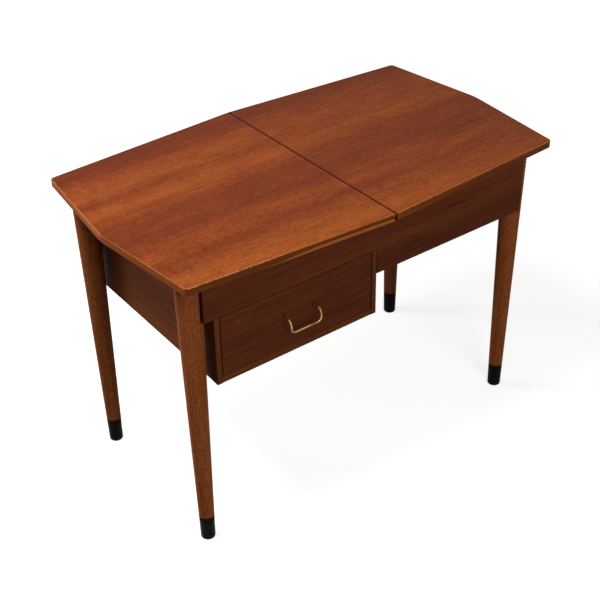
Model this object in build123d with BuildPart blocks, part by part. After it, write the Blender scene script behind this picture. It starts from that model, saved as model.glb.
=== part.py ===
"""A small sewing table: a two-leaf top over a tray and a well, with a drawer hung under the left half.

Millimetres, +Z up, X along the table, the drawer opening towards -Y.
The origin is on the floor under the middle of the table.
"""
import os
from math import hypot

from build123d import *

# ---- driving dimensions -------------------------------------------------------------------
# top
TOP_Z = 550.0            # height of the top's upper face
SLAB_T = 13.0            # thickness of the two leaves
CORNER_X = 374.0         # half length at the four corners
CORNER_Y = 212.0         # half depth at the four corners
END_BULGE = 23.0         # how far the short sides peak past the corners
SIDE_BULGE = 24.0        # how far the long sides peak past the corners
CORNER_R = 8.0           # rounding of the corners seen from above
PEAK_R = 120.0           # rounding of the short sides' peaks
SEAM_GAP = 1.0           # gap between the leaves
LIPPING_W = 7.0          # solid lipping round each leaf
TOP_ARRIS = 1.3          # rounding of the lipping's upper edge
UNDER_ARRIS = 0.8        # rounding of the lipping's lower edge
COVE_R = 3.8             # finger cove in the left leaf's front edge
COVE_DROP = 8.9          # cove's axis below the upper face
COVE_OUT = 0.6           # cove's axis outside the edge
COVE_FROM_SEAM = 100.0   # deepest point of the cove, from the seam
COVE_HALF_L = 190.0      # half length of the cove
END_BEVEL = 3.6          # bevel of the left end's rear edge, where it meets the peak

# legs
LEG_IN_X = 32.5          # leg axes in from the top's corners
LEG_IN_Y = 51.5
LEG_TOP_R = 21.5
LEG_FOOT_R = 12.5
TIP_H = 40.0             # black turned tips
TIP_EASE = 2.5
SPIGOT_R = 6.0
SPIGOT_L = 22.0
SPIGOT_SLACK = 1.0       # air above a spigot

# frame boards
BOARD_T = 16.0
FACE_OUT = 28.5          # faces of the long boards outside the leg axes
BOARD_END_IN = 6.5       # ends of the long boards inside the leg axes
BOARD_H = 123.8          # depth of the long boards
CUT_H = 77.8             # depth of the front board above the drawer
END_FROM_LEG = 2.0       # end boards stand this far inside the legs
BOARD_EASE = 1.0

# compartments
WALL = 10.0              # end boards, partition and carcass walls
PARTITION_PAST = 1.8     # partition's right face past the seam
CARCASS_DROP = 124.0     # carcass below the cut of the front board
FLOOR_T = 6.0            # tray and well floors
CLEAT = 12.0             # cleats under the floors
CLEAT_RISE = 4.0         # well cleats above the boards' lower edge

# drawer
FRONT_T = 16.0           # inset drawer front
FRONT_GAP = 1.0          # joint round the drawer front
SIDE_T = 10.0
SIDE_GAP = 1.5           # drawer sides to the carcass
SIDE_TO_CLEATS = 7.0     # drawer sides below the tray's cleats
DRAWER_BACK_T = 10.0
DRAWER_BACK_DROP = 6.0   # drawer back below the sides
PLY_T = 4.0              # drawer bottom
PLY_RISE = 5.0           # drawer bottom above the sides' lower edge
GROOVE = 4.0             # depth of the grooves that hold it
RUNNER_W = 12.0
RUNNER_T = 4.0
STOP_W = 24.0
STOP_H = 20.0
STOP_L = 21.3            # carcass back to the drawer's rear end
STOP_IN = 30.0           # stops in from the carcass's sides

# handle
WIRE_R = 1.7
HANDLE_CC = 59.0
HANDLE_OUT = 19.0        # grip's axis in front of the drawer
HANDLE_DOWN = 47.5       # collars below the drawer front's upper edge
HANDLE_DROP = 23.0       # grip below the collars
BEND_R = 8.0             # bends at the grip's ends
BEND_GAP = 2.0           # straight wire between them and the bends from the collars
COLLAR_R = 3.8
COLLAR_T = 3.0
NUT_AF = 7.0             # across flats
NUT_T = 3.0
WIRE_BEYOND_NUT = 2.0
WIRE_FIT = 0.1

# hinges
HINGE_W = 40.0
PLATE_L = 20.0           # from the pin to the plate's free edge
PLATE_T = 1.5
KNUCKLE_R = 3.0
PIN_R = 1.5
PIN_FIT = 0.05           # pin in the moving knuckle
KNUCKLE_AIR = 0.4        # round the knuckles
HINGE_FROM_SEAM = 80.0   # inner hinges
HINGE_FROM_END = 45.5    # outer hinges, from the back board's ends
SCREW_HEAD_R = 2.8
SCREW_R = 1.4
SCREW_L = 10.0
SCREW_HEAD_H = 1.4
SCREW_PITCH = 24.0
SCREW_FROM_EDGE = 6.0

# fits
REST_GAP = 0.2           # leaves over the frame, drawer over its runners and its stops

# ---- levels and planes worked out from them ------------------------------------------------
LEG_X = CORNER_X - LEG_IN_X
LEG_Y = CORNER_Y - LEG_IN_Y
UNDER_Z = TOP_Z - SLAB_T
FRAME_Z = UNDER_Z - REST_GAP
BOARD_Z = FRAME_Z - BOARD_H
CUT_Z = FRAME_Z - CUT_H
TRAY_Z = CUT_Z + FRONT_GAP
CARCASS_Z = CUT_Z - CARCASS_DROP
WELL_CLEAT_Z = BOARD_Z + CLEAT_RISE
WELL_Z = WELL_CLEAT_Z + CLEAT
FACE_Y = LEG_Y + FACE_OUT
INNER_Y = FACE_Y - BOARD_T
BOARD_X = LEG_X - BOARD_END_IN
END_FACE_X = LEG_X - LEG_TOP_R - END_FROM_LEG
END_INNER_X = END_FACE_X - WALL
CARCASS_BACK_Y = INNER_Y - WALL
CARCASS_X0 = -END_FACE_X               # the left end board is the carcass's left side
CARCASS_X1 = PARTITION_PAST
CAVITY_X0 = -END_INNER_X               # drawer space between the carcass's walls
CAVITY_X1 = CARCASS_X1 - WALL
CAVITY_Z = CARCASS_Z + WALL
RUNNER_Z = CAVITY_Z + RUNNER_T
SIDE_Z = RUNNER_Z + REST_GAP
SIDE_TOP_Z = TRAY_Z - CLEAT - SIDE_TO_CLEATS
SIDE_X0 = CAVITY_X0 + SIDE_GAP
SIDE_X1 = CAVITY_X1 - SIDE_GAP
PLY_Z = SIDE_Z + PLY_RISE
FRONT_BACK_Y = -FACE_Y + FRONT_T
DRAWER_END_Y = CARCASS_BACK_Y - STOP_L - REST_GAP
DRAWER_MID_X = (CAVITY_X0 + CAVITY_X1) / 2
HANDLE_Z = CUT_Z - FRONT_GAP - HANDLE_DOWN
TURN_R = HANDLE_DROP - BEND_R - BEND_GAP    # the wire's bends from the collars down to the grip
PIN_Y = FACE_Y + KNUCKLE_R + KNUCKLE_AIR
PIN_Z = UNDER_Z - KNUCKLE_R - KNUCKLE_AIR
HINGE_FAR = BOARD_X - HINGE_FROM_END
HINGE_XS = (-HINGE_FAR, -HINGE_FROM_SEAM, HINGE_FROM_SEAM, HINGE_FAR)
SCREW_XS = [x + dx for x in HINGE_XS for dx in (-SCREW_PITCH / 2, SCREW_PITCH / 2)]
SCREW_Z = PIN_Z - PLATE_L + SCREW_FROM_EDGE    # hinge screws in the back board
SCREW_Y = PIN_Y + PLATE_L - SCREW_FROM_EDGE    # and under the leaves

OCTAGON = [
    (-CORNER_X, -CORNER_Y), (0, -CORNER_Y - SIDE_BULGE), (CORNER_X, -CORNER_Y),
    (CORNER_X + END_BULGE, 0), (CORNER_X, CORNER_Y), (0, CORNER_Y + SIDE_BULGE),
    (-CORNER_X, CORNER_Y), (-CORNER_X - END_BULGE, 0),
]

os.makedirs("parts", exist_ok=True)


def save(builder, node):
    """Label a finished piece and write it under its node's name."""
    builder.part.label = node
    export_step(builder.part, f"parts/{node}.step")


def box_between(low, high, mode=Mode.ADD):
    """A box between two opposite corners, in the builder that is open."""
    centre = tuple((a + b) / 2 for a, b in zip(low, high))
    with Locations(centre):
        Box(*[b - a for a, b in zip(low, high)], mode=mode)


def board(node, low, high, eased=None):
    """A plain board between two corners, with the chosen edges eased."""
    with BuildPart() as piece:
        box_between(low, high)
        if eased:
            fillet(eased(piece), BOARD_EASE)
    save(piece, node)


# ---- the top: two leaves of a veneered panel inside solid lippings ---------------------------
def half_plane(side):
    """Keep one leaf's half of the open sketch."""
    reach = 2 * (CORNER_X + END_BULGE)
    with Locations((side * (reach / 2 + SEAM_GAP / 2), 0)):
        Rectangle(reach, reach, mode=Mode.INTERSECT)


def rounded_slab(side):
    """A leaf's whole outline with its eased edges, which the lippings are cut from."""
    with BuildPart() as slab:
        with BuildSketch(Plane.XY.offset(UNDER_Z)) as outline:
            Polygon(*OCTAGON, align=None)
            fillet(outline.vertices().filter_by(lambda v: abs(abs(v.X) - CORNER_X) < LIPPING_W), CORNER_R)
            fillet(outline.vertices().filter_by(lambda v: abs(v.X) > CORNER_X + END_BULGE / 2), PEAK_R)
            half_plane(side)
        extrude(amount=SLAB_T)
        rim = slab.edges().filter_by(lambda e: abs(e.center().X) > SEAM_GAP)
        fillet(rim.group_by(Axis.Z)[-1], TOP_ARRIS)
        rim = slab.edges().filter_by(lambda e: abs(e.center().X) > SEAM_GAP)
        fillet(rim.group_by(Axis.Z)[0], UNDER_ARRIS)
    return slab.part


def leaf_panel(side, node, screw_xs):
    """The veneered panel, with pilot holes for the hinge screws."""
    with BuildPart() as panel:
        with BuildSketch(Plane.XY.offset(UNDER_Z)):
            Polygon(*OCTAGON, align=None)
            offset(amount=-LIPPING_W, kind=Kind.INTERSECTION)
            half_plane(side)
        extrude(amount=SLAB_T)
        depth = SCREW_L - PLATE_T
        with Locations([(x, SCREW_Y, UNDER_Z + depth / 2) for x in screw_xs]):
            Cylinder(SCREW_R, depth, mode=Mode.SUBTRACT)
    save(panel, node)


def inner_octagon():
    """Corners of the panel, inside the lippings."""
    with BuildSketch() as inner:
        Polygon(*OCTAGON, align=None)
        offset(amount=-LIPPING_W, kind=Kind.INTERSECTION)
    points = inner.vertices()
    return [min(points, key=lambda v: hypot(v.X - x, v.Y - y)) for x, y in OCTAGON]


def lipping_region(slab, side, first, last):
    """One mitred strip of the slab, between two corners of the octagon."""
    inner = inner_octagon()

    def mitre(k):
        x, y = OCTAGON[k]
        ix, iy = inner[k].X, inner[k].Y
        if x == 0:
            ix = side * SEAM_GAP / 2
            return (ix, iy), (ix, iy + 2 * (y - iy))
        return (ix, iy), (ix + 2 * (x - ix), iy + 2 * (y - iy))

    (a_in, a_out), (b_in, b_out) = mitre(first), mitre(last)
    with BuildPart() as strip:
        add(slab)
        with BuildSketch(Plane.XY.offset(UNDER_Z)):
            Polygon(a_in, a_out, b_out, b_in, align=None)
        extrude(amount=SLAB_T, mode=Mode.INTERSECT)
    return strip.part


def finger_cove(strip):
    """A long shallow cove, deepest near the seam, that the fingers lift the left leaf by."""
    start = Vector(*OCTAGON[0])
    seam = Vector(*OCTAGON[1])
    along = (seam - start).normalized()
    outward = Vector(along.Y, -along.X)
    centre = seam - along * COVE_FROM_SEAM + outward * COVE_OUT + Vector(0, 0, TOP_Z - COVE_DROP)
    with BuildPart() as grooved:
        add(strip)
        with BuildSketch(Plane(centre, x_dir=along, z_dir=outward)):
            with BuildLine():
                ThreePointArc((-COVE_HALF_L, 0), (0, COVE_R), (COVE_HALF_L, 0))
                Line((COVE_HALF_L, 0), (-COVE_HALF_L, 0))
            make_face()
        revolve(axis=Axis(centre, along), mode=Mode.SUBTRACT)
    return grooved.part


def growing_bevel(strip):
    """A bevel on the upper edge that grows from the rear corner to the peak of the left end."""
    corner = Vector(*OCTAGON[6], TOP_Z)
    peak = Vector(*OCTAGON[7], TOP_Z)
    along = (peak - corner).normalized()
    inward = Vector(-along.Y, along.X, 0)
    on_top = peak + inward * END_BEVEL
    on_edge = peak - Vector(0, 0, END_BEVEL)
    normal = (on_top - corner).cross(on_edge - corner).normalized()
    if normal.Z < 0:
        normal = -normal
    with BuildPart() as bevelled:
        add(strip)
        split(bisect_by=Plane(corner, z_dir=normal), keep=Keep.BOTTOM)
    return bevelled.part


def leaf(side, name, edges):
    """Panel and lippings of one leaf; edges gives each strip's corners and its own shaping."""
    leaf_panel(side, f"{name}_panel", [x for x in SCREW_XS if x * side > 0])
    slab = rounded_slab(side)
    for strip_name, (first, last, shaping) in edges.items():
        strip = lipping_region(slab, side, first, last)
        if shaping:
            strip = shaping(strip)
        with BuildPart() as lipping:
            add(strip)
        save(lipping, f"{name}_lipping_{strip_name}")


leaf(-1, "left_leaf", {
    "front": (0, 1, finger_cove),
    "back": (5, 6, None),
    "end_rear": (6, 7, growing_bevel),
    "end_front": (7, 0, None),
})
leaf(1, "right_leaf", {
    "front": (1, 2, None),
    "back": (4, 5, None),
    "end_front": (2, 3, None),
    "end_rear": (3, 4, None),
})


# ---- legs: turned, tapered, housed for the long boards, on black tips -------------------------
def leg_radius(z):
    """The taper runs straight from the floor to the top of the frame."""
    return LEG_FOOT_R + (LEG_TOP_R - LEG_FOOT_R) * z / FRAME_Z


def leg(side, end, node, housing_z):
    """A leg with a housing for the end of the long board in front of it."""
    centre = (side * LEG_X, end * LEG_Y, 0)
    outer = LEG_TOP_R + FACE_OUT
    with BuildPart() as turned:
        with BuildSketch(Plane(centre, x_dir=(1, 0, 0), z_dir=(0, -1, 0))):
            with BuildLine():
                Polyline(
                    (0, TIP_H + SPIGOT_L + SPIGOT_SLACK), (SPIGOT_R, TIP_H + SPIGOT_L + SPIGOT_SLACK),
                    (SPIGOT_R, TIP_H), (leg_radius(TIP_H), TIP_H), (LEG_TOP_R, FRAME_Z),
                    (0, FRAME_Z), close=True,
                )
            make_face()
        revolve(axis=Axis(centre, (0, 0, 1)))
        xs = sorted((side * BOARD_X, side * (LEG_X - 2 * LEG_TOP_R)))
        ys = sorted((end * INNER_Y, end * (LEG_Y + outer)))
        box_between((xs[0], ys[0], housing_z), (xs[1], ys[1], FRAME_Z), mode=Mode.SUBTRACT)
    save(turned, node)


def leg_tip(side, end, node):
    """A black tip with a turned spigot that sits in the leg's end."""
    centre = (side * LEG_X, end * LEG_Y, 0)
    with BuildPart() as tip:
        with BuildSketch(Plane(centre, x_dir=(1, 0, 0), z_dir=(0, -1, 0))) as profile:
            Polygon(
                (0, 0), (LEG_FOOT_R, 0), (leg_radius(TIP_H), TIP_H), (SPIGOT_R, TIP_H),
                (SPIGOT_R, TIP_H + SPIGOT_L), (0, TIP_H + SPIGOT_L), align=None,
            )
            rim = profile.vertices().filter_by(lambda v: v.Y < TIP_EASE and v.X > SPIGOT_R)
            fillet(rim, TIP_EASE)
        revolve(axis=Axis(centre, (0, 0, 1)))
    save(tip, node)


for side, side_name in ((-1, "left"), (1, "right")):
    for end, end_name in ((-1, "front"), (1, "back")):
        above_drawer = side < 0 and end < 0
        leg(side, end, f"leg_{end_name}_{side_name}", CUT_Z if above_drawer else BOARD_Z)
        leg_tip(side, end, f"tip_{end_name}_{side_name}")


# ---- frame boards ---------------------------------------------------------------------------
def long_board(node, outline, end, screw_xs=()):
    """A front (end -1) or back (end 1) board, drawn on its outer face and extruded inwards."""
    outer = Plane((0, end * FACE_Y, 0), x_dir=(-end, 0, 0), z_dir=(0, end, 0))
    with BuildPart() as plank:
        with BuildSketch(outer):
            Polygon(*outline, align=None)
        extrude(amount=-BOARD_T)
        face = plank.faces().filter_by(Axis.Y).sort_by(Axis.Y)[0 if end < 0 else -1]
        eased = face.edges().filter_by(lambda e: e.center().Z < FRAME_Z - BOARD_EASE)
        fillet(eased, BOARD_EASE)
        depth = SCREW_L - PLATE_T
        if screw_xs:
            with Locations([Location((x, FACE_Y - depth / 2, SCREW_Z), (90, 0, 0)) for x in screw_xs]):
                Cylinder(SCREW_R, depth, mode=Mode.SUBTRACT)
    save(plank, node)


long_board("front_board", [
    (-BOARD_X, FRAME_Z), (-BOARD_X, CUT_Z), (CARCASS_X1 + FRONT_GAP, CUT_Z),
    (CARCASS_X1 + FRONT_GAP, BOARD_Z), (BOARD_X, BOARD_Z), (BOARD_X, FRAME_Z),
], -1)
long_board("back_board", [
    (-BOARD_X, FRAME_Z), (-BOARD_X, BOARD_Z), (BOARD_X, BOARD_Z), (BOARD_X, FRAME_Z),
], 1, SCREW_XS)


def lower_outer_edge(side):
    """Selector for the lower outer edge of an end board."""
    return lambda piece: piece.edges().filter_by(Axis.Y).group_by(Axis.X)[side].group_by(Axis.Z)[0]


board("end_board_left", (-END_FACE_X, -INNER_Y, CARCASS_Z), (-END_INNER_X, INNER_Y, FRAME_Z),
      lower_outer_edge(0))
board("end_board_right", (END_INNER_X, -INNER_Y, BOARD_Z), (END_FACE_X, INNER_Y, FRAME_Z),
      lower_outer_edge(-1))


# ---- hinges: two on each leaf, their knuckles behind the back board --------------------------
def countersunk(point, out, mode=Mode.ADD):
    """A countersunk screw in the open part: head flush at the point, shank away from out."""
    out = Vector(*out)
    with BuildSketch(Plane(point, x_dir=(1, 0, 0), z_dir=Vector(1, 0, 0).cross(out))) as profile:
        with BuildLine():
            Polyline(
                (0, 0), (SCREW_HEAD_R, 0), (SCREW_R, -SCREW_HEAD_H), (SCREW_R, -SCREW_L),
                (0, -SCREW_L), close=True,
            )
        make_face()
    revolve(profile.sketch, axis=Axis(point, out), mode=mode)


def fixed_screw_points(xs):
    return [(x, FACE_Y + PLATE_T, SCREW_Z) for x in xs]


def moving_screw_points(xs):
    return [(x, SCREW_Y, UNDER_Z - PLATE_T) for x in xs]


def knuckles(spans, bore_r):
    """Barrels round the pin over each span of x."""
    for x0, x1 in spans:
        with BuildSketch(Plane((x0, PIN_Y, PIN_Z), x_dir=(0, 1, 0), z_dir=(1, 0, 0))) as barrel:
            Circle(KNUCKLE_R)
        extrude(barrel.sketch, amount=x1 - x0)
    x0, x1 = spans[0][0], spans[-1][1]
    with BuildSketch(Plane((x0, PIN_Y, PIN_Z), x_dir=(0, 1, 0), z_dir=(1, 0, 0))) as bore:
        Circle(bore_r)
    extrude(bore.sketch, amount=x1 - x0, mode=Mode.SUBTRACT)


def hinge(node, x):
    """A butt hinge: the fixed plate on the back board, the moving plate under the leaf."""
    x0, x1 = x - HINGE_W / 2, x + HINGE_W / 2
    third = HINGE_W / 3
    half_air = KNUCKLE_AIR / 2
    ends = [(x0, x0 + third - half_air), (x1 - third + half_air, x1)]
    middle = [(x0 + third + half_air, x1 - third - half_air)]
    room = KNUCKLE_R + KNUCKLE_AIR
    screws = (x - SCREW_PITCH / 2, x + SCREW_PITCH / 2)

    with BuildPart() as fixed:
        box_between((x0, FACE_Y, PIN_Z - PLATE_L), (x1, FACE_Y + PLATE_T, PIN_Z))
        box_between((ends[0][1], FACE_Y, PIN_Z - room), (ends[1][0], PIN_Y, PIN_Z), mode=Mode.SUBTRACT)
        knuckles(ends, PIN_R)
        for point in fixed_screw_points(screws):
            countersunk(point, (0, 1, 0), mode=Mode.SUBTRACT)
    save(fixed, f"{node}_fixed_plate")

    with BuildPart() as moving:
        box_between((x0, PIN_Y, UNDER_Z - PLATE_T), (x1, PIN_Y + PLATE_L, UNDER_Z))
        for low, high in ((x0, middle[0][0]), (middle[0][1], x1)):
            box_between((low, PIN_Y, UNDER_Z - PLATE_T), (high, PIN_Y + room, UNDER_Z), mode=Mode.SUBTRACT)
        box_between((middle[0][0], PIN_Y, PIN_Z), (middle[0][1], PIN_Y + KNUCKLE_R, UNDER_Z))
        knuckles(middle, PIN_R + PIN_FIT)
        for point in moving_screw_points(screws):
            countersunk(point, (0, 0, -1), mode=Mode.SUBTRACT)
    save(moving, f"{node}_moving_plate")


def hinge_pins(node, xs):
    with BuildPart() as pins:
        for x in xs:
            with BuildSketch(Plane((x - HINGE_W / 2, PIN_Y, PIN_Z), x_dir=(0, 1, 0), z_dir=(1, 0, 0))):
                Circle(PIN_R)
            extrude(amount=HINGE_W)
    save(pins, node)


def hinge_screws(node, points, out):
    with BuildPart() as screws:
        for point in points:
            countersunk(point, out)
    save(screws, node)


for name, x in zip(("left_outer", "left_inner", "right_inner", "right_outer"), HINGE_XS):
    hinge(f"hinge_{name}", x)
hinge_pins("left_hinge_pins", HINGE_XS[:2])
hinge_pins("right_hinge_pins", HINGE_XS[2:])
hinge_screws("hinge_screws_frame", fixed_screw_points(SCREW_XS), (0, 1, 0))
hinge_screws("hinge_screws_left_leaf", moving_screw_points(SCREW_XS[:4]), (0, 0, -1))
hinge_screws("hinge_screws_right_leaf", moving_screw_points(SCREW_XS[4:]), (0, 0, -1))


# ---- tray, well and drawer carcass ------------------------------------------------------------
board("tray_floor", (CAVITY_X0, -INNER_Y, TRAY_Z), (CAVITY_X1, INNER_Y, TRAY_Z + FLOOR_T))
board("well_floor", (CARCASS_X1, -INNER_Y, WELL_Z), (END_INNER_X, INNER_Y, WELL_Z + FLOOR_T))

with BuildPart() as tray_cleats:
    for x in (CAVITY_X0, CAVITY_X1 - CLEAT):
        box_between((x, FRONT_GAP - INNER_Y, TRAY_Z - CLEAT), (x + CLEAT, CARCASS_BACK_Y, TRAY_Z))
save(tray_cleats, "tray_cleats")
board("well_cleat_front", (CARCASS_X1, -INNER_Y, WELL_CLEAT_Z), (END_INNER_X, -INNER_Y + CLEAT, WELL_Z))
board("well_cleat_back", (CARCASS_X1, INNER_Y - CLEAT, WELL_CLEAT_Z), (END_INNER_X, INNER_Y, WELL_Z))

board("partition", (CAVITY_X1, -INNER_Y, CARCASS_Z), (CARCASS_X1, INNER_Y, FRAME_Z))
board("carcass_bottom", (CAVITY_X0, -INNER_Y, CARCASS_Z), (CAVITY_X1, CARCASS_BACK_Y, CAVITY_Z))
board("carcass_back", (CAVITY_X0, CARCASS_BACK_Y, CARCASS_Z), (CAVITY_X1, INNER_Y, TRAY_Z))


def front_edges(along):
    """Selector for a carcass lipping's two long front edges."""
    return lambda piece: piece.faces().sort_by(Axis.Y)[0].edges().filter_by(along)


board("carcass_lipping_left", (CARCASS_X0, -FACE_Y, CARCASS_Z), (CAVITY_X0, -INNER_Y, CUT_Z),
      front_edges(Axis.Z))
board("carcass_lipping_right", (CAVITY_X1, -FACE_Y, CARCASS_Z), (CARCASS_X1, -INNER_Y, CUT_Z),
      front_edges(Axis.Z))
board("carcass_lipping_bottom", (CAVITY_X0, -FACE_Y, CARCASS_Z), (CAVITY_X1, -INNER_Y, CAVITY_Z),
      front_edges(Axis.X))

for node, x in (("drawer_runner_left", CAVITY_X0), ("drawer_runner_right", CAVITY_X1 - RUNNER_W)):
    board(node, (x, FRONT_BACK_Y, CAVITY_Z), (x + RUNNER_W, CARCASS_BACK_Y, RUNNER_Z))

with BuildPart() as stops:
    for x in (CAVITY_X0 + STOP_IN, CAVITY_X1 - STOP_IN - STOP_W):
        box_between((x, DRAWER_END_Y + REST_GAP, CAVITY_Z), (x + STOP_W, CARCASS_BACK_Y, CAVITY_Z + STOP_H))
save(stops, "drawer_stops")


# ---- drawer ------------------------------------------------------------------------------------
handle_xs = (DRAWER_MID_X - HANDLE_CC / 2, DRAWER_MID_X + HANDLE_CC / 2)

with BuildPart() as drawer_front:
    box_between((CAVITY_X0 + FRONT_GAP, -FACE_Y, CAVITY_Z + FRONT_GAP),
                (CAVITY_X1 - FRONT_GAP, FRONT_BACK_Y, CUT_Z - FRONT_GAP))
    face = drawer_front.faces().sort_by(Axis.Y)[0]
    fillet(face.edges(), BOARD_EASE / 2)
    box_between((SIDE_X0 + SIDE_T - GROOVE, FRONT_BACK_Y - GROOVE, PLY_Z),
                (SIDE_X1 - SIDE_T + GROOVE, FRONT_BACK_Y, PLY_Z + PLY_T), mode=Mode.SUBTRACT)
    with Locations([Location((x, -FACE_Y + FRONT_T / 2, HANDLE_Z), (90, 0, 0)) for x in handle_xs]):
        Cylinder(WIRE_R + WIRE_FIT, FRONT_T, mode=Mode.SUBTRACT)
save(drawer_front, "drawer_front")


def drawer_side(node, x, groove_x):
    """A drawer side with the groove that holds the bottom."""
    with BuildPart() as side:
        box_between((x, FRONT_BACK_Y, SIDE_Z), (x + SIDE_T, DRAWER_END_Y, SIDE_TOP_Z))
        box_between((groove_x, FRONT_BACK_Y, PLY_Z), (groove_x + GROOVE, DRAWER_END_Y, PLY_Z + PLY_T),
                    mode=Mode.SUBTRACT)
        fillet(side.edges().filter_by(Axis.Y).group_by(Axis.Z)[-1], BOARD_EASE)
    save(side, node)


drawer_side("drawer_side_left", SIDE_X0, SIDE_X0 + SIDE_T - GROOVE)
drawer_side("drawer_side_right", SIDE_X1 - SIDE_T, SIDE_X1 - SIDE_T)
board("drawer_back", (SIDE_X0 + SIDE_T, DRAWER_END_Y - DRAWER_BACK_T, PLY_Z + PLY_T),
      (SIDE_X1 - SIDE_T, DRAWER_END_Y, SIDE_TOP_Z - DRAWER_BACK_DROP))
board("drawer_bottom", (SIDE_X0 + SIDE_T - GROOVE, FRONT_BACK_Y - GROOVE, PLY_Z),
      (SIDE_X1 - SIDE_T + GROOVE, DRAWER_END_Y, PLY_Z + PLY_T))

# ---- handle: a bent brass wire through two collars, with nuts inside the drawer -----------------
grip_y = -FACE_Y - HANDLE_OUT
inside_y = FRONT_BACK_Y + NUT_T + WIRE_BEYOND_NUT
with BuildPart() as bow:
    with BuildLine() as path:
        corners = [
            (handle_xs[0], inside_y, HANDLE_Z), (handle_xs[0], grip_y, HANDLE_Z),
            (handle_xs[0], grip_y, HANDLE_Z - HANDLE_DROP), (handle_xs[1], grip_y, HANDLE_Z - HANDLE_DROP),
            (handle_xs[1], grip_y, HANDLE_Z), (handle_xs[1], inside_y, HANDLE_Z),
        ]
        FilletPolyline(*corners, radius=(TURN_R, BEND_R, BEND_R, TURN_R))
    with BuildSketch(Plane(corners[0], x_dir=(1, 0, 0), z_dir=(0, -1, 0))):
        Circle(WIRE_R)
    sweep()
save(bow, "handle_bow")


def ring_at(y0, y1, outline):
    """Rings round the wire's two ends, between two depths."""
    for x in handle_xs:
        with BuildSketch(Plane((x, y0, HANDLE_Z), x_dir=(1, 0, 0), z_dir=(0, 1, 0))) as ring:
            outline()
            Circle(WIRE_R + WIRE_FIT, mode=Mode.SUBTRACT)
        extrude(ring.sketch, amount=y1 - y0)


with BuildPart() as collars:
    ring_at(-FACE_Y - COLLAR_T, -FACE_Y, lambda: Circle(COLLAR_R))
save(collars, "handle_collars")

with BuildPart() as nuts:
    ring_at(FRONT_BACK_Y, FRONT_BACK_Y + NUT_T, lambda: RegularPolygon(NUT_AF / 2, 6, major_radius=False))
save(nuts, "handle_nuts")
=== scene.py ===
"""A small teak sewing table: finishes, floor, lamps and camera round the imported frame.

Metres, +Z up, X along the table, the drawer opening towards -Y, as in the frame.
"""

from math import pi, radians

import bpy
import numpy as np
from mathutils import Euler, Matrix, Vector

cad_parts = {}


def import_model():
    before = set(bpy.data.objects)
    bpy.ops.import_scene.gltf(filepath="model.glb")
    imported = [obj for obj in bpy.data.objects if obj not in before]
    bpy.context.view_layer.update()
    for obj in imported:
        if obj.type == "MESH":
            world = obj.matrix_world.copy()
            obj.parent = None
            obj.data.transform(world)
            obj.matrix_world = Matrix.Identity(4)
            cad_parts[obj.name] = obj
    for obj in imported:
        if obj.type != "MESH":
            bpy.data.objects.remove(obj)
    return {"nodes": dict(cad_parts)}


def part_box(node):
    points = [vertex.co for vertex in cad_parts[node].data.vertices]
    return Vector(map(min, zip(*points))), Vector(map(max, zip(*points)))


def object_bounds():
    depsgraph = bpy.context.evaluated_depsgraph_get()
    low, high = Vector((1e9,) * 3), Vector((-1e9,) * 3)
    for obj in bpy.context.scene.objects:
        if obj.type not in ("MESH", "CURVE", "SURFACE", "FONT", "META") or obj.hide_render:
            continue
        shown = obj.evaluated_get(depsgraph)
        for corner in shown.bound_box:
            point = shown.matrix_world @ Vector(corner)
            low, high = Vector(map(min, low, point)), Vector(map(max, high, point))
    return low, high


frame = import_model()
cad_box = [list(corner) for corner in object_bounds()]
MM = 0.001

# ---- places ---------------------------------------------------------------------------------
# read from the frame
TOP_LOW, TOP_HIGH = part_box("left_leaf_panel")
TOP_Z = TOP_HIGH[2]
HALF_LENGTH = cad_box[1][0]
HALF_DEPTH = cad_box[1][1]
DRAWER_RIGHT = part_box("drawer_front")[1][0]

STAIN_LINE = 51.0 * MM                   # how high the black of the tips reaches
SEAM_DARK = (2.3 * MM, 1.2 * MM)         # where the painted shade beside the seam starts and is full
DRAWER_RIM = 1.6 * MM                    # width of the painted shade at the drawer front's right side
LIP_FADES_AT = -265.0 * MM               # the painted highlight on the lip under the left leaf's cove: where along
LIP_FULL_AT = -140.0 * MM                # the edge it has faded and where it is full
LIP_H = 3.8 * MM
CHIPS_END = -235.0 * MM                  # the chips on the left leaf's front arris are full up
CHIPS_FADE = 40.0 * MM                   # to the first place and thin out over this length
REAR_NOOK = (60.0 * MM, 140.0 * MM)      # where the painted shade of the nooks beside the legs starts
FRONT_NOOK = (-148.0 * MM, -165.0 * MM)  # and is full
NOOK_FACES = (0.90, 0.96)                # how squarely a face looks along X to be in a nook
END_FACES = (0.7, 0.95)                  # how squarely a face looks along the grain to be end grain

# how far the arris of each lipping is lightened, in mm, and how light: rubbed wear, and a painted
# highlight where the arris catches the light
RUBS_AND_HIGHLIGHTS = {
    "left_leaf_lipping_front": (1.7, 0.75), "left_leaf_lipping_back": (1.8, 0.55),
    "left_leaf_lipping_end_front": (2.2, 0.70), "left_leaf_lipping_end_rear": (3.4, 0.80),
    "right_leaf_lipping_front": (3.4, 0.90), "right_leaf_lipping_back": (2.0, 0.60),
    "right_leaf_lipping_end_front": (2.2, 0.70), "right_leaf_lipping_end_rear": (2.2, 0.70),
}
COVED = "left_leaf_lipping_front"

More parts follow.
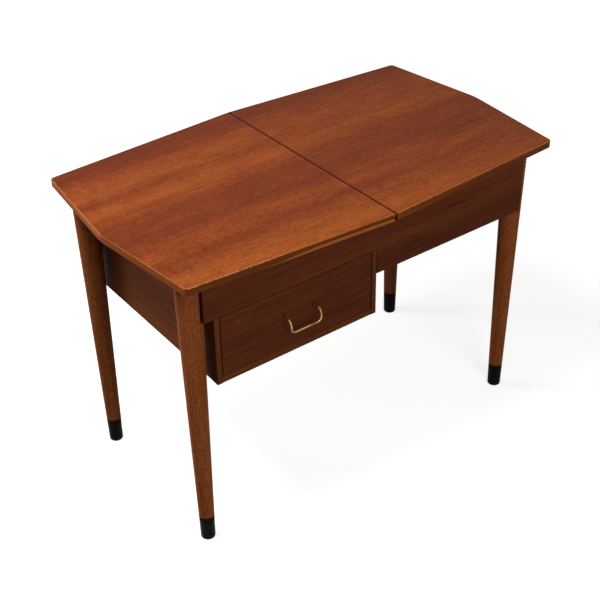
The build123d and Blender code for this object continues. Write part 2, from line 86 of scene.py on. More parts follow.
# ---- woods and metals: sRGB colours -----------------------------------------------------------
VENEER_DARK = "#692D19"
VENEER_MID = "#863D1D"
VENEER_LIGHT = "#B05C28"
FRAME_DARK = "#6C3722"
FRAME_LIGHT = "#984E2F"
SOLID_DARK = "#814120"
SOLID_LIGHT = "#B45F2A"
LEG_DARK = "#AC5A2C"
LEG_LIGHT = "#E28045"
# the back legs: darker copies of the legs' teak, painted shade for the table's shade on them
BACK_LEFT_SHADED_DARK = "#904B26"
BACK_LEFT_SHADED_LIGHT = "#C26E3C"
BACK_RIGHT_SHADED_DARK = "#7E4021"
BACK_RIGHT_SHADED_LIGHT = "#A55C35"
CARCASS_DARK = "#713C25"
CARCASS_LIGHT = "#9F582F"
END_DARK = "#723A20"
END_LIGHT = "#9E542A"
# worn teak with a painted highlight, for eased edges and arrises
WORN_TEAK_AND_HIGHLIGHT = "#C0743A"
# painted highlight on the cove's lower lip
LIP_PAINTED_HIGHLIGHT = "#E8893C"
# painted shade in the cove
COVE_SHADE = "#7C4224"
# painted shade on eased edges that meet gaps
EDGE_PAINTED_SHADE = "#2A120A"
SCRATCH = "#C08A5A"
CHIPPED = "#CF9A68"
# painted shade in the nooks beside the legs
NOOK_SHADE = "#34130A"
END_GRAIN = "#4A2413"
PORE = "#3C1A0D"
MINERAL = "#3B1D12"
# painted shade beside the seam's gap
SEAM_PAINTED_SHADE = "#380F08"
BLACK_STAIN = "#1E1B19"
BLACK_WORN = "#2A2421"
BEECH_DARK = "#BC8654"
BEECH_LIGHT = "#DAA872"
BEECH_FLECK = "#9A6F45"
PLY_DARK = "#C29260"
PLY_LIGHT = "#E0B888"
BRASS = "#AE8E5A"
BRASS_DULL = "#7C6239"
HINGE_BRASS = "#94743E"
HINGE_DULL = "#5E4A2A"
COLLAR_BRASS = "#54402A"
COLLAR_DULL = "#2C2218"
STEEL = "#A8A49C"
STEEL_DULL = "#7E7A72"

DRY_GLOSS = 0.012    # mirror share of worn, dry wood, in the shader's measure
EDGE_GLOSS = 0.02    # of the lippings and the stained tips
TOP_GLOSS = 0.03     # of the top, which still holds some oil

# ---- recipes of the figure --------------------------------------------------------------------
# Each layer of noise: mm along the grain, mm across it, detail, roughness, and its weight in the
# tone. Real pores are 0.2 mm wide, drawn five to seven times wider so that they show.
BOARD_LAYERS = {
    "bands": (600.0, 34.0, 3.0, 0.5, 1.10),
    "streaks": (120.0, 4.2, 3.0, 0.6, 0.90),
    "flecks": (14.0, 2.4, 3.0, 0.7, 0.45),
    "lines": (60.0, 1.3, 1.0, 0.5, 0.30),
}
VENEER_LAYERS = {
    "bands": (420.0, 24.0, 3.0, 0.5, 0.35),
    "clouds": (90.0, 24.0, 3.0, 0.6, 0.50),
    "streaks": (90.0, 3.2, 3.0, 0.6, 0.60),
    "flecks": (10.0, 2.6, 3.0, 0.7, 1.00),
    "lines": (55.0, 1.3, 1.0, 0.5, 0.40),
}
LEG_LAYERS = {
    "bands": (500.0, 16.0, 3.0, 0.5, 0.70),
    "streaks": (70.0, 2.6, 3.0, 0.6, 0.70),
    "flecks": (8.0, 2.4, 3.0, 0.7, 0.80),
}
BEECH_LAYERS = {"bands": (400.0, 22.0, 2.0, 0.5, 0.80), "streaks": (90.0, 2.5, 2.0, 0.5, 0.40)}
PLY_LAYERS = {"waves": (260.0, 24.0, 3.0, 0.5, 1.00), "fibres": (40.0, 1.2, 2.0, 0.5, 0.40)}

# Open pores: their layer of noise, and the levels from which one starts and is full.
BOARD_PORES = ((8.0, 1.1, 1.0, 0.5), (0.56, 0.70))
VENEER_PORES = ((7.0, 1.4, 1.0, 0.7), (0.52, 0.66))
LEG_PORES = ((6.0, 1.1, 1.0, 0.7), (0.52, 0.65))
# Beech rays are 2 to 4 mm long and 0.3 mm wide, drawn about three times wider.
BEECH_RAYS = ((5.0, 1.0, 0.0, 0.5), (0.62, 0.74))
RELIEF = {"streaks": 0.5, "lines": 0.4}      # how the layers raise the surface
PORE_DEPTH = -0.8

# Bands of the top's veneer, from the front edge to the back: share of the depth and lightness.
TOP_BANDS = (
    (0.06, 1.00), (0.11, 0.86), (0.16, 0.62), (0.20, 0.44), (0.27, 0.62), (0.33, 0.54),
    (0.37, 0.30), (0.50, 0.32), (0.55, 0.56), (0.61, 0.80), (0.69, 0.56), (0.75, 0.78),
    (0.82, 0.60), (0.87, 0.30), (0.92, 0.14),
)
# Mineral streaks in the top's veneer: middle x and y, half length and half width in mm, strength.
TOP_STREAKS = (
    (300.0, -73.0, 100.0, 2.6, 0.75), (44.0, 113.0, 36.0, 2.4, 0.75),
    (276.0, -172.0, 8.0, 3.2, 0.60), (-28.0, 112.0, 26.0, 1.8, 0.40),
    (90.0, 98.0, 40.0, 1.6, 0.30),
)
# Marks on upright faces: middle x and z, half length and half width in mm, rise in degrees,
# strength and colour. The drawer's front has two light scratches, and the front board two
# mineral streaks.
DRAWER_MARKS = (
    (-275.0, 439.6, 8.0, 1.2, -8.0, 0.45, SCRATCH),
    (-294.0, 387.0, 14.0, 0.9, 0.0, 0.30, SCRATCH),
)
FRONT_MARKS = (
    (172.0, 483.3, 52.0, 2.2, 0.0, 0.55, MINERAL),
    (84.0, 444.0, 34.0, 2.4, 4.0, 0.45, MINERAL),
)

# ---- stage ------------------------------------------------------------------------------------
FLOOR_HALF = 9.0
FLOOR_PALE = 0.85        # the floor's own colour where it is seen, and where it only throws
FLOOR_DIM = 0.10         # light back on the table
FLOOR_GLOW = 0.78        # plain white in what the camera sees of the floor
GLOW_FROM = 0.7          # distances from the table between which the glow rises to white
GLOW_TO = 3.2
ROOM_LIGHT = 0.075
# name, place, the point it faces, side in metres, power in watts
LAMPS = (
    ("overhead", (-0.62, 0.08, 1.68), (0.0, 0.0, 0.5), 0.8, 15.5),
    ("front_fill", (-0.25, -1.8, 1.25), (0.0, 0.0, 0.4), 0.9, 8.2),
    ("back_left", (-1.2, 1.4, 0.9), (0.0, 0.0, 0.4), 0.5, 7.0),
)
SENSOR_MM = 36.0
LENS_MM = 69.971
LENS_SHIFT = (0.01501, -0.0329)
CAMERA_AT = (-1.0531, -1.4159, 1.4742)
CAMERA_HEADING = 35.659      # degrees from +Y towards +X
CAMERA_DOWN = 33.570
CAMERA_ROLL = -1.484

# ---- grain directions -------------------------------------------------------------------------
AXIS_X, AXIS_Y, AXIS_Z = (1.0, 0.0, 0.0), (0.0, 1.0, 0.0), (0.0, 0.0, 1.0)
# turns that bring a grain direction onto X
ALONG_X = (0.0, 0.0, 0.0)
ALONG_Y = (0.0, 0.0, -pi / 2)
ALONG_Z = (0.0, pi / 2, 0.0)
SWAY_CELL = (420.0, 75.0)    # mm along and across the grain over which it sways


# ---- nodes ------------------------------------------------------------------------------------
def linear(hex_colour):
    """An sRGB hex colour as the linear RGBA that a shader takes."""
    srgb = np.array([int(hex_colour[i:i + 2], 16) / 255 for i in (1, 3, 5)])
    rgb = np.where(srgb <= 0.04045, srgb / 12.92, ((srgb + 0.055) / 1.055) ** 2.4)
    return (*(float(channel) for channel in rgb), 1.0)


def grey(value):
    """A linear grey."""
    return (value, value, value, 1.0)


def blank_material(name):
    """An empty material and its node tree."""
    made = bpy.data.materials.new(name)
    made.use_nodes = True
    made.node_tree.nodes.clear()
    return made, made.node_tree


def feed(tree, socket, value):
    """Links a socket to another one, or sets it to a constant."""
    if isinstance(value, bpy.types.NodeSocket):
        tree.links.new(value, socket)
    else:
        socket.default_value = value


def add(tree, kind, inputs=None, stops=None, **settings):
    """Adds a node with its settings, its inputs set or linked, and the stops of its ramp."""
    node = tree.nodes.new(kind)
    for key, value in settings.items():
        setattr(node, key, value)
    for key, value in (inputs or {}).items():
        feed(tree, node.inputs[key], value)
    if stops:
        elements = node.color_ramp.elements
        while len(elements) < len(stops):
            elements.new(0.5)
        for element, (place, colour) in zip(elements, stops):
            element.position = place
            element.color = colour
    return node


def object_place(tree):
    """The place on the part, in the frame's metres."""
    return add(tree, "ShaderNodeTexCoord").outputs["Object"]


def surface_normal(tree):
    return add(tree, "ShaderNodeTexCoord").outputs["Normal"]


def axes(tree, vector):
    """The X, Y and Z of a vector."""
    return add(tree, "ShaderNodeSeparateXYZ", {"Vector": vector}).outputs


def vector_math(tree, operation, first, second=(0.0, 0.0, 0.0)):
    """One vector made of two, or of the first alone."""
    return add(tree, "ShaderNodeVectorMath", {0: first, 1: second}, operation=operation).outputs[0]


def dot(tree, first, second):
    node = add(tree, "ShaderNodeVectorMath", {0: first, 1: second}, operation="DOT_PRODUCT")
    return node.outputs["Value"]


def length(tree, vector):
    node = add(tree, "ShaderNodeVectorMath", {0: vector}, operation="LENGTH")
    return node.outputs["Value"]


def product(tree, first, second):
    return add(tree, "ShaderNodeMath", {0: first, 1: second}, operation="MULTIPLY").outputs[0]


def larger(tree, first, second):
    return add(tree, "ShaderNodeMath", {0: first, 1: second}, operation="MAXIMUM").outputs[0]


def absolute(tree, value):
    return add(tree, "ShaderNodeMath", {0: value}, operation="ABSOLUTE").outputs[0]


def sums(tree, *terms):
    """The sum of value * weight over the terms."""
    total = 0.0
    for value, weight in terms:
        node = add(tree, "ShaderNodeMath", {0: value, 1: weight, 2: total},
                   operation="MULTIPLY_ADD")
        total = node.outputs[0]
    return total


def between(tree, value, low, high, to_low=0.0, to_high=1.0, rise="SMOOTHSTEP"):
    """A smooth step of value from low to high, or a LINEAR ramp, onto to_low to to_high."""
    node = add(tree, "ShaderNodeMapRange",
               {"Value": value, "From Min": low, "From Max": high,
                "To Min": to_low, "To Max": to_high}, interpolation_type=rise)
    return node.outputs["Result"]


def blend(tree, fac, under, over):
    """One colour over another by fac."""
    node = add(tree, "ShaderNodeMix", {"Factor": fac}, data_type="RGBA")
    feed(tree, node.inputs[6], under)
    feed(tree, node.inputs[7], over)
    return node.outputs[2]


# ---- grain ------------------------------------------------------------------------------------
def stretched(tree, place, long_mm, wide_mm):
    """Coordinates in which one unit is long_mm along the grain and wide_mm across it."""
    cell = (1 / (long_mm * MM), 1 / (wide_mm * MM), 1 / (wide_mm * MM))
    return vector_math(tree, "MULTIPLY", place, cell)


def noise_along(tree, place, long_mm, wide_mm, detail=2.0, roughness=0.5):
    """Noise in cells that are long_mm along the grain and wide_mm across it, from 0 to 1."""
    node = add(tree, "ShaderNodeTexNoise",
               {"Vector": stretched(tree, place, long_mm, wide_mm), "Scale": 1.0,
                "Detail": detail, "Roughness": roughness})
    return node.outputs["Fac"]


def grain_space(tree, turn, sway_mm=9.0):
    """Object coordinates turned so that the grain runs along X, and swayed as real grain is."""
    turned = add(tree, "ShaderNodeMapping", {"Vector": object_place(tree), "Rotation": turn},
                 vector_type="POINT").outputs[0]
    noise = add(tree, "ShaderNodeTexNoise",
                {"Vector": stretched(tree, turned, *SWAY_CELL), "Scale": 1.0, "Detail": 1.0})
    centred = vector_math(tree, "SUBTRACT", noise.outputs["Color"], (0.5, 0.5, 0.5))
    sway = vector_math(tree, "MULTIPLY", centred, (0.0, sway_mm * MM, sway_mm * MM))
    return vector_math(tree, "ADD", turned, sway)


def figure_layers(tree, place, recipe):
    """The layers of a recipe by name, and each with its weight in the tone."""
    made = {name: noise_along(tree, place, *cell) for name, (*cell, _) in recipe.items()}
    return made, [(made[name], recipe[name][-1]) for name in recipe]


def open_pores(tree, place, recipe):
    """1 in the pores, or the rays, of a recipe."""
    cell, levels = recipe
    return between(tree, noise_along(tree, place, *cell), *levels)


def relief(tree, layers, pores):
    """The height of the grain: raised streaks and lines, and sunken pores."""
    raised = [(layers[name], share) for name, share in RELIEF.items() if name in layers]
    return sums(tree, *raised, (pores, PORE_DEPTH))


def facing(tree, direction, low, high):
    """1 where the surface faces along a direction, either way, and 0 where it faces across it."""
    return between(tree, absolute(tree, dot(tree, surface_normal(tree), direction)), low, high)


def eased_edge(tree):
    """1 on the rounded edges of a square-set board, whose normals lean between two axes."""
    sizes = axes(tree, vector_math(tree, "ABSOLUTE", surface_normal(tree)))
    largest = larger(tree, larger(tree, sizes["X"], sizes["Y"]), sizes["Z"])
    return between(tree, largest, 0.99, 0.90)


def end_grain(tree, colour, grain_axis):
    """Darkens the faces across the grain."""
    return blend(tree, facing(tree, grain_axis, *END_FACES), colour, linear(END_GRAIN))


def finish_wood(tree, colour, height, roughness=0.50, relief_mm=0.10, gloss=DRY_GLOSS):
    """The wood's surface: a satin sheen that follows the grain's relief."""
    bump = add(tree, "ShaderNodeBump",
               {"Strength": 0.6, "Distance": relief_mm * MM, "Height": height})
    satin = sums(tree, (height, -0.10), (1.0, roughness))
    shader = add(tree, "ShaderNodeBsdfPrincipled", {
        "Base Color": colour, "Roughness": satin, "Normal": bump.outputs["Normal"],
        "Specular IOR Level": gloss,
    })
    add(tree, "ShaderNodeOutputMaterial", {"Surface": shader.outputs["BSDF"]})


# ---- teak -------------------------------------------------------------------------------------
def board_figure(tree, place, dark, light):
    """Colour and height of a teak board: slow bands, streaks and open pores along the grain."""
    layers, weighted = figure_layers(tree, place, BOARD_LAYERS)
    pores = open_pores(tree, place, BOARD_PORES)
    tone = sums(tree, *weighted, (1.0, -0.87))
    colour = add(tree, "ShaderNodeValToRGB", {"Fac": tone},
                 stops=[(0.2, linear(dark)), (0.8, linear(light))])
    colour = blend(tree, product(tree, pores, 0.26), colour.outputs["Color"], linear(PORE))
    return colour, relief(tree, layers, pores)


def top_banding(tree, place):
    """The broad bands of the top's veneer, about 0, which fade towards the right end."""
    split = axes(tree, place)
    depth = between(tree, split["Y"], -HALF_DEPTH, HALF_DEPTH, rise="LINEAR")
    stops = [(at, grey(level)) for at, level in TOP_BANDS]
    figure = add(tree, "ShaderNodeValToRGB", {"Fac": depth}, stops=stops)
    figure.color_ramp.interpolation = "EASE"
    fade = between(tree, split["X"], -HALF_LENGTH, HALF_LENGTH, 1.05, 0.50, rise="LINEAR")
    return product(tree, sums(tree, (figure.outputs["Color"], 1.0), (1.0, -0.55)), fade)


def end_mottle(tree, place):
    """Mottle across the grain at the top's left end, about 0."""
    share = between(tree, axes(tree, place)["X"], -0.50 * HALF_LENGTH, -0.95 * HALF_LENGTH)
    mottle = sums(tree, (noise_along(tree, place, 16.0, 40.0), 1.0), (1.0, -0.5))
    return product(tree, mottle, share)


def veneer_figure(tree):
    """Colour and height of the top's veneer, which runs on from one leaf to the other."""
    place = grain_space(tree, ALONG_X, sway_mm=12.0)
    layers, weighted = figure_layers(tree, place, VENEER_LAYERS)
    pores = open_pores(tree, place, VENEER_PORES)
    tone = sums(tree, (top_banding(tree, place), 0.85), *weighted,
                (end_mottle(tree, place), 0.50), (1.0, -0.91))
    colour = add(tree, "ShaderNodeValToRGB", {"Fac": tone},
                 stops=[(0.0, linear(VENEER_DARK)), (0.45, linear(VENEER_MID)),
                        (1.0, linear(VENEER_LIGHT))])
    colour = blend(tree, product(tree, pores, 0.38), colour.outputs["Color"], linear(PORE))
    for x, y, half_long, half_wide, strength in TOP_STREAKS:
        offset = vector_math(tree, "SUBTRACT", place, (x * MM, y * MM, TOP_Z))
        reach = length(tree, stretched(tree, offset, half_long, half_wide))
        # the grain's own streaks fray the outline
        inside = between(tree, sums(tree, (reach, 1.0), (layers["streaks"], 0.8)), 1.5, 0.6)
        colour = blend(tree, product(tree, inside, strength), colour, linear(MINERAL))
    # the seam between the leaves takes painted shade
    return seam_painted_shade(tree, colour), relief(tree, layers, pores)


def seam_painted_shade(tree, colour):
    """Painted shade that darkens both sides of the seam between the leaves, where its narrow gap
    lies in shade.
    """
    from_seam = absolute(tree, axes(tree, object_place(tree))["X"])
    share = between(tree, from_seam, *SEAM_DARK, 0.0, 0.95)
    return blend(tree, share, colour, linear(SEAM_PAINTED_SHADE))


def marked(tree, colour, marks):
    """Draws soft oval marks on the faces towards the front."""
    for x, z, half_long, half_wide, rise, strength, mark_colour in marks:
        offset = add(tree, "ShaderNodeMapping", {
            "Vector": object_place(tree), "Location": (x * MM, 0.0, z * MM),
            "Rotation": (0.0, -radians(rise), 0.0),
            "Scale": (half_long * MM, 1.0, half_wide * MM),
        }, vector_type="TEXTURE").outputs[0]
        reach = length(tree, vector_math(tree, "MULTIPLY", offset, (1.0, 0.0, 1.0)))
        inside = between(tree, reach, 1.0, 0.5, 0.0, strength)
        colour = blend(tree, inside, colour, linear(mark_colour))
    return colour


def painted_joint_shade(tree, colour, rim_from):
    """Painted shade that makes the joint at a board's right side look wider than it is."""
    rim = between(tree, axes(tree, object_place(tree))["X"], rim_from, rim_from + 0.5 * MM)
    return blend(tree, rim, colour, linear(EDGE_PAINTED_SHADE))


def painted_nook_shade(tree, colour, strength):
    """Painted shade beside the legs, on the faces towards the table's ends."""
    depth = axes(tree, object_place(tree))["Y"]
    nooks = sums(tree, (between(tree, depth, *REAR_NOOK), strength),
                 (between(tree, depth, *FRONT_NOOK), strength))
    share = product(tree, nooks, facing(tree, AXIS_X, *NOOK_FACES))
    return blend(tree, share, colour, linear(NOOK_SHADE))


def oiled_teak(name, turn, grain_axis, dark, light, edge=WORN_TEAK_AND_HIGHLIGHT, nook=0.0, rim_from=None,
               marks=()):
    """Oiled teak board. The eye sees brown bands, fine dark pores and dark end grain."""
    made, tree = blank_material(name)
    place = grain_space(tree, turn)
    colour, height = board_figure(tree, place, dark, light)
    # the eased edges take the edge colour: worn teak with a painted highlight, or painted shade
    # where they meet gaps
    eased_share = product(tree, eased_edge(tree), noise_along(tree, place, 25.0, 6.0))
    colour = blend(tree, eased_share, colour, linear(edge))
    colour = marked(tree, colour, marks)
    # painted shade in the joint at the board's right side
    if rim_from is not None:
        colour = painted_joint_shade(tree, colour, rim_from)
    # painted shade in the nooks beside the legs
    if nook:
        colour = painted_nook_shade(tree, colour, nook)
    finish_wood(tree, end_grain(tree, colour, grain_axis), height)
    return made


def turned_teak(name, dark, light):
    """Oiled turned teak legs. The eye sees an even orange brown, dashed by pores down the leg."""
    made, tree = blank_material(name)
    place = grain_space(tree, ALONG_Z, sway_mm=6.0)
    layers, weighted = figure_layers(tree, place, LEG_LAYERS)
    pores = open_pores(tree, place, LEG_PORES)
    tone = sums(tree, *weighted, (1.0, -0.60))
    colour = blend(tree, between(tree, tone, 0.15, 0.85), linear(dark), linear(light))
    colour = blend(tree, product(tree, pores, 0.45), colour, linear(PORE))
    colour = end_grain(tree, colour, AXIS_Z)
    # the black stain of the tip runs on up the leg to a clean line
    upright = axes(tree, object_place(tree))["Z"]
    stained = between(tree, upright, STAIN_LINE + 0.4 * MM, STAIN_LINE)
    colour = blend(tree, stained, colour, linear(BLACK_STAIN))
    finish_wood(tree, colour, relief(tree, layers, pores))
    return made


def top_veneer():
    """Oiled teak veneer of the two leaves. The eye sees one run of figure across both."""
    made, tree = blank_material("oiled_teak_veneer_top")
    finish_wood(tree, *veneer_figure(tree), gloss=TOP_GLOSS)
    return made


def strip_lie(node):
    """A lipping's direction and outward side seen from above, and how far out its edge is."""
    mesh = frame["nodes"][node].data
    points = np.empty(len(mesh.vertices) * 3)
    mesh.vertices.foreach_get("co", points)
    points = points.reshape(-1, 3)
    centre = (points.min(axis=0) + points.max(axis=0)) / 2
    upper = points[points[:, 2] > TOP_Z - 6 * MM][:, :2]
    # the strip runs along the main axis of its upper points
    direction = np.linalg.svd(upper - upper.mean(axis=0))[2][0]
    outward = np.array([direction[1], -direction[0]])
    if outward @ centre[:2] < 0:
        outward = -outward
    return direction, outward, float((points[:, :2] @ outward).max())


def cove_shade_highlight_and_chips(tree, colour, place, drop, reach):
    """The left leaf's finger cove: painted shade in it, a painted highlight on the lip below it,
    chips above it.
    """
    along = axes(tree, object_place(tree))["X"]
    # painted shade in the upper half of the cove
    shade = between(tree, drop, -1.0 * MM, -1.8 * MM, 0.0, 0.5)
    colour = blend(tree, shade, colour, linear(COVE_SHADE))
    # painted highlight on the lip below the cove
    lip_height = between(tree, along, LIP_FADES_AT, LIP_FULL_AT, 0.0, LIP_H, rise="LINEAR")
    over_lip = sums(tree, (drop, 1.0), (1.0, TOP_HIGH[2] - TOP_LOW[2]), (lip_height, -1.0))
    lip = between(tree, over_lip, 0.3 * MM, -0.3 * MM, 0.0, 0.85)
    colour = blend(tree, lip, colour, linear(LIP_PAINTED_HIGHLIGHT))
    pale = between(tree, noise_along(tree, place, 4.5, 5.0, detail=1.0), 0.44, 0.56, 0.0, 0.70)
    chipped = product(tree, between(tree, reach, 1.7 * MM, 1.1 * MM),
                      between(tree, along, CHIPS_END + CHIPS_FADE, CHIPS_END))
    return blend(tree, product(tree, pale, chipped), colour, linear(CHIPPED))


def lipping(node, lighten_mm, lighten_share):
    """Solid teak strip round the veneer. The eye sees its rubbed arris as a light line, drawn as
    wear with a painted highlight.
    """
    direction, outward, edge = strip_lie(node)
    made, tree = blank_material("oiled_teak_" + node)
    turn = (0.0, 0.0, -float(np.arctan2(direction[1], direction[0])))
    place = grain_space(tree, turn)
    solid, height = board_figure(tree, place, SOLID_DARK, SOLID_LIGHT)
    veneer, veneer_height = veneer_figure(tree)
    point = object_place(tree)
    out = dot(tree, point, (*(float(v) for v in outward), 0.0))
    inset = sums(tree, (out, 1.0), (1.0, -edge))
    drop = sums(tree, (axes(tree, point)["Z"], 1.0), (1.0, -TOP_Z))
    corner = add(tree, "ShaderNodeCombineXYZ", {"X": inset, "Y": drop})
    reach = length(tree, corner.outputs[0])
    colour = blend(tree, between(tree, drop, -0.4 * MM, -0.1 * MM), solid, veneer)
    patches = between(tree, noise_along(tree, place, 9.0, 3.0), 0.30, 0.60)
    # the arris is lightened: rubbed wear and a painted highlight
    arris_light = between(tree, reach, lighten_mm * MM, 0.4 * lighten_mm * MM, 0.0, lighten_share)
    colour = blend(tree, product(tree, arris_light, patches), colour, linear(WORN_TEAK_AND_HIGHLIGHT))
    if node == COVED:
        colour = cove_shade_highlight_and_chips(tree, colour, place, drop, reach)
    # painted shade beside the seam
    colour = seam_painted_shade(tree, colour)
    finish_wood(tree, colour, blend(tree, 0.5, height, veneer_height), gloss=EDGE_GLOSS)
    return made


# ---- other finishes ---------------------------------------------------------------------------
def ebonised(name):
    """Black-stained turned tips. The eye sees near-black with faint brown where it is rubbed."""
    made, tree = blank_material(name)
    place = grain_space(tree, ALONG_Z, sway_mm=2.0)
    rubs = between(tree, noise_along(tree, place, 18.0, 7.0, detail=3.0), 0.52, 0.75)
    colour = blend(tree, rubs, linear(BLACK_STAIN), linear(BLACK_WORN))
    height = noise_along(tree, place, 20.0, 1.0)
    finish_wood(tree, colour, height, roughness=0.42, relief_mm=0.05, gloss=EDGE_GLOSS)
    return made


def bare_beech(name, turn):
    """Bare beech. The eye sees pale even wood with short darker flecks along the grain."""
    made, tree = blank_material(name)
    place = grain_space(tree, turn, sway_mm=5.0)
    weighted = figure_layers(tree, place, BEECH_LAYERS)[1]
    tone = sums(tree, *weighted, (1.0, -0.1))
    colour = blend(tree, tone, linear(BEECH_DARK), linear(BEECH_LIGHT))
    rays = open_pores(tree, place, BEECH_RAYS)
    colour = blend(tree, product(tree, rays, 0.4), colour, linear(BEECH_FLECK))
    finish_wood(tree, colour, rays, roughness=0.62, relief_mm=0.03)
    return made


def birch_ply(name, turn):
    """Birch plywood. The eye sees cream rotary-cut faces with broad waves of grain."""
    made, tree = blank_material(name)
    place = grain_space(tree, turn, sway_mm=30.0)
    layers, weighted = figure_layers(tree, place, PLY_LAYERS)
    tone = sums(tree, *weighted, (1.0, -0.2))
    colour = blend(tree, tone, linear(PLY_DARK), linear(PLY_LIGHT))
    finish_wood(tree, colour, layers["fibres"], roughness=0.66, relief_mm=0.04)
    return made


def metal(name, bright, dull, roughness, patch_mm):
    """Rubbed metal. The eye sees a satin shine, duller in patches where it has tarnished."""
    made, tree = blank_material(name)
    patches = add(tree, "ShaderNodeTexNoise",
                  {"Vector": object_place(tree), "Scale": 1 / (patch_mm * MM), "Detail": 3.0})
    amount = between(tree, patches.outputs["Fac"], 0.42, 0.68)
    colour = blend(tree, amount, linear(bright), linear(dull))
    rough = sums(tree, (amount, 0.16), (1.0, roughness))
    shader = add(tree, "ShaderNodeBsdfPrincipled",
                 {"Base Color": colour, "Metallic": 1.0, "Roughness": rough})
    add(tree, "ShaderNodeOutputMaterial", {"Surface": shader.outputs["BSDF"]})
    return made


# ---- dressing the frame's nodes ---------------------------------------------------------------
def dress(made, *nodes):
    """Gives CAD nodes a material in each of their slots."""
    for node in nodes:
        mesh = frame["nodes"][node].data
        for index in range(max(1, len(mesh.materials))):
            if index < len(mesh.materials):
                mesh.materials[index] = made
            else:
                mesh.materials.append(made)


dress(top_veneer(), "left_leaf_panel", "right_leaf_panel")
for strip, arris_light in RUBS_AND_HIGHLIGHTS.items():
    dress(lipping(strip, *arris_light), strip)
# the front board, long boards, drawer front and upright lippings take painted shade on their eased
# edges
dress(oiled_teak("oiled_teak_front_board", ALONG_X, AXIS_X, FRAME_DARK, FRAME_LIGHT,
                 edge=EDGE_PAINTED_SHADE, marks=FRONT_MARKS), "front_board")
dress(oiled_teak("oiled_teak_long_boards", ALONG_X, AXIS_X, FRAME_DARK, FRAME_LIGHT,
                 edge=EDGE_PAINTED_SHADE), "back_board", "carcass_bottom")
dress(oiled_teak("oiled_teak_drawer_front", ALONG_X, AXIS_X, FRAME_DARK, FRAME_LIGHT,
                 edge=EDGE_PAINTED_SHADE, rim_from=DRAWER_RIGHT - DRAWER_RIM, marks=DRAWER_MARKS),
      "drawer_front")
# the end boards take painted shade in the nooks beside the legs
dress(oiled_teak("oiled_teak_end_boards", ALONG_Y, AXIS_Y, END_DARK, END_LIGHT, nook=0.55),
      "end_board_left", "end_board_right", "partition")
dress(oiled_teak("oiled_teak_upright_lippings", ALONG_Z, AXIS_Z, CARCASS_DARK, CARCASS_LIGHT,
                 edge=EDGE_PAINTED_SHADE, nook=0.70), "carcass_lipping_left", "carcass_lipping_right")
dress(oiled_teak("oiled_teak_level_lipping", ALONG_X, AXIS_X, CARCASS_DARK, CARCASS_LIGHT),
      "carcass_lipping_bottom")
dress(turned_teak("oiled_turned_teak", LEG_DARK, LEG_LIGHT), "leg_front_left", "leg_front_right")
# the back legs take darker copies of the teak: painted shade
dress(turned_teak("oiled_turned_teak_shaded_back_left", BACK_LEFT_SHADED_DARK, BACK_LEFT_SHADED_LIGHT),
      "leg_back_left")
dress(turned_teak("oiled_turned_teak_shaded_back_right", BACK_RIGHT_SHADED_DARK, BACK_RIGHT_SHADED_LIGHT),
      "leg_back_right")
dress(ebonised("ebonised_turned_tips"),
      "tip_front_left", "tip_front_right", "tip_back_left", "tip_back_right")
dress(bare_beech("bare_beech_along_y", ALONG_Y), "drawer_side_left", "drawer_side_right",
      "drawer_runner_left", "drawer_runner_right", "tray_cleats")
dress(bare_beech("bare_beech_along_x", ALONG_X),
      "drawer_back", "drawer_stops", "well_cleat_front", "well_cleat_back")
dress(birch_ply("birch_plywood", ALONG_X),
      "tray_floor", "well_floor", "drawer_bottom", "carcass_back")
dress(metal("satin_brass_wire", BRASS, BRASS_DULL, 0.30, 9.0), "handle_bow")
dress(metal("tarnished_brass_collars", COLLAR_BRASS, COLLAR_DULL, 0.55, 3.0), "handle_collars")
dress(metal("aged_brass_hinges", HINGE_BRASS, HINGE_DULL, 0.42, 7.0),
      *(f"hinge_{place}_{plate}_plate"
        for place in ("left_outer", "left_inner", "right_inner", "right_outer")
        for plate in ("fixed", "moving")), "left_hinge_pins", "right_hinge_pins")
dress(metal("plated_steel", STEEL, STEEL_DULL, 0.36, 4.0),
      "handle_nuts", "hinge_screws_frame", "hinge_screws_left_leaf", "hinge_screws_right_leaf")


# ---- floor, lamps and camera ------------------------------------------------------------------
def seen_directly(tree):
    """1 for rays from the camera, from metal and through glass."""
    rays = add(tree, "ShaderNodeLightPath").outputs
    glossy = larger(tree, rays["Is Camera Ray"], rays["Is Glossy Ray"])
    return larger(tree, glossy, rays["Is Transmission Ray"])


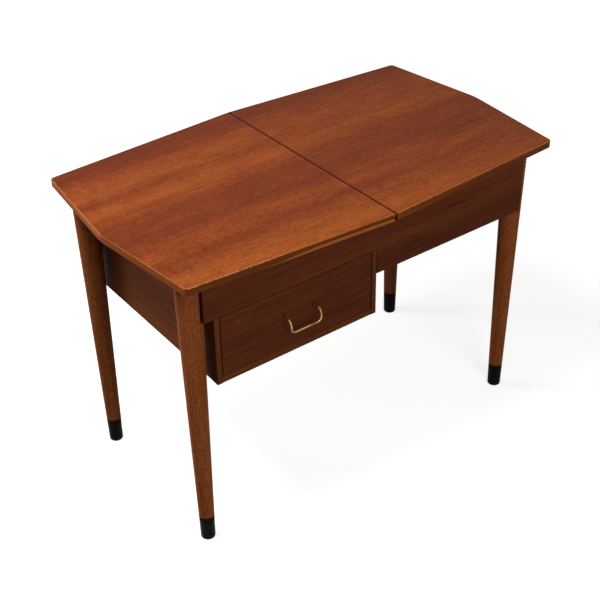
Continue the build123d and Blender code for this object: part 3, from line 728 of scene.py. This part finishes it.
def floor():
    """A plain pale floor that keeps the table's shadow."""
    mesh = bpy.data.meshes.new("floor")
    reach = FLOOR_HALF
    mesh.from_pydata([(-reach, -reach, 0), (reach, -reach, 0), (reach, reach, 0),
                      (-reach, reach, 0)], [], [(0, 1, 2, 3)])
    plane = bpy.data.objects.new("floor", mesh)
    bpy.context.scene.collection.objects.link(plane)
    made, tree = blank_material("pale_paper_floor")
    dim = add(tree, "ShaderNodeBsdfDiffuse", {"Color": grey(FLOOR_DIM)})
    lit = add(tree, "ShaderNodeBsdfDiffuse", {"Color": grey(FLOOR_PALE)})
    # the glow rises to white away from the table, where the lamps no longer reach
    away = length(tree, object_place(tree))
    strength = between(tree, away, GLOW_FROM, GLOW_TO, FLOOR_GLOW, 1.0)
    glow = add(tree, "ShaderNodeEmission", {"Color": grey(1.0), "Strength": strength})
    pale = add(tree, "ShaderNodeAddShader", {0: lit.outputs[0], 1: glow.outputs[0]})
    shader = add(tree, "ShaderNodeMixShader",
                 {0: seen_directly(tree), 1: dim.outputs[0], 2: pale.outputs[0]})
    add(tree, "ShaderNodeOutputMaterial", {"Surface": shader.outputs[0]})
    mesh.materials.append(made)


def world():
    """White where it is seen, and a soft grey where it lights."""
    sky = bpy.data.worlds.new("soft_room")
    bpy.context.scene.world = sky
    sky.use_nodes = True
    tree = sky.node_tree
    tree.nodes.clear()
    white = add(tree, "ShaderNodeBackground", {"Color": grey(1.0), "Strength": 1.0})
    soft = add(tree, "ShaderNodeBackground", {"Color": grey(1.0), "Strength": ROOM_LIGHT})
    shown = add(tree, "ShaderNodeMixShader",
                {0: seen_directly(tree), 1: soft.outputs[0], 2: white.outputs[0]})
    add(tree, "ShaderNodeOutputWorld", {"Surface": shown.outputs[0]})


def lamp(name, at, towards, size, power):
    """A square soft lamp that faces a point."""
    light = bpy.data.lights.new(name, "AREA")
    light.shape = "SQUARE"
    light.size = size
    light.energy = power
    lit = bpy.data.objects.new(name, light)
    lit.location = at
    lit.rotation_euler = (Vector(towards) - Vector(at)).to_track_quat("-Z", "Y").to_euler()
    bpy.context.scene.collection.objects.link(lit)


def camera():
    """Looks down on the table from the front left."""
    lens = bpy.data.cameras.new("camera")
    lens.sensor_width = SENSOR_MM
    lens.lens = LENS_MM
    lens.shift_x, lens.shift_y = LENS_SHIFT
    eye = bpy.data.objects.new("camera", lens)
    look = Euler((pi / 2 - radians(CAMERA_DOWN), 0.0, -radians(CAMERA_HEADING))).to_matrix()
    turn = look @ Matrix.Rotation(radians(CAMERA_ROLL), 3, "Z")
    eye.rotation_euler = turn.to_euler()
    eye.location = CAMERA_AT
    bpy.context.scene.collection.objects.link(eye)
    bpy.context.scene.camera = eye


floor()
world()
for row in LAMPS:
    lamp(*row)
camera()
bpy.context.scene.view_settings.view_transform = "Standard"
